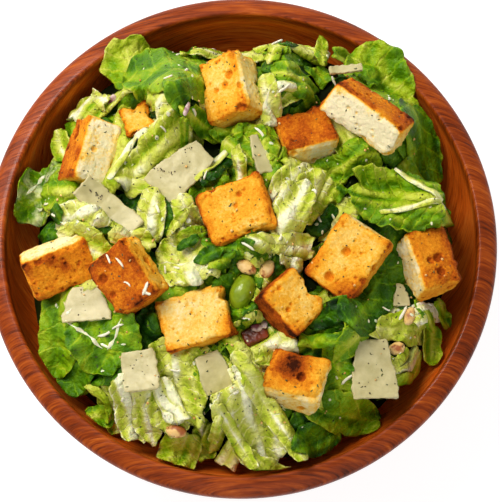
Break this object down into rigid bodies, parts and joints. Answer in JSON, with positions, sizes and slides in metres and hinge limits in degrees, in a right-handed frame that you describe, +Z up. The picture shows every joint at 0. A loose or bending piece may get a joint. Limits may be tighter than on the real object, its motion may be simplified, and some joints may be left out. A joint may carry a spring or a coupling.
{
  "type": "caesar salad",
  "caption": "Caesar salad of romaine, toasted bread croutons and parmesan shavings in a round turned wooden bowl, served at the table.",
  "frame": {"origin": "centre of the bowl's flat foot, on the surface it stands on", "axes": "+Z up out of the bowl; -Y is the side nearest the eater; the bowl is round about Z and only the salad tells the sides apart"},
  "size_m": [0.23, 0.23, 0.1133],
  "materials": {
    "bowl_wood": "oiled reddish-brown hardwood, satin",
    "lettuce_leaf": "fresh romaine leaf, waxy, stands in for a plant leaf",
    "toasted_bread": "dry porous bread with a browned crust",
    "hard_cheese": "hard ivory cheese, slightly waxy",
    "almond": "toasted nut with brown skin",
    "green_olive": "wet green olive skin",
    "dried_tomato": "dark red-brown, moist"
  },
  "bodies": {
    "root": {"bowl": "bowl_wood", "lettuce": "lettuce_leaf", "crouton_01": "toasted_bread", "crouton_02": "toasted_bread", "crouton_03": "toasted_bread", "crouton_04": "toasted_bread", "crouton_05": "toasted_bread", "crouton_06": "toasted_bread", "crouton_07": "toasted_bread", "crouton_08": "toasted_bread", "crouton_09": "toasted_bread", "crouton_10": "toasted_bread", "crouton_11": "toasted_bread", "crouton_12": "toasted_bread", "crouton_13": "toasted_bread", "shaving_1": "hard_cheese", "shaving_2": "hard_cheese", "shaving_3": "hard_cheese", "shaving_4": "hard_cheese", "shaving_5": "hard_cheese", "shaving_6": "hard_cheese", "shaving_7": "hard_cheese", "shaving_8": "hard_cheese", "shaving_9": "hard_cheese", "almond_1": "almond", "almond_2": "almond", "almond_3": "almond", "almond_4": "almond", "almond_5": "almond", "olive": "green_olive", "dried_tomato": "dried_tomato"}
  },
  "joints": []
}
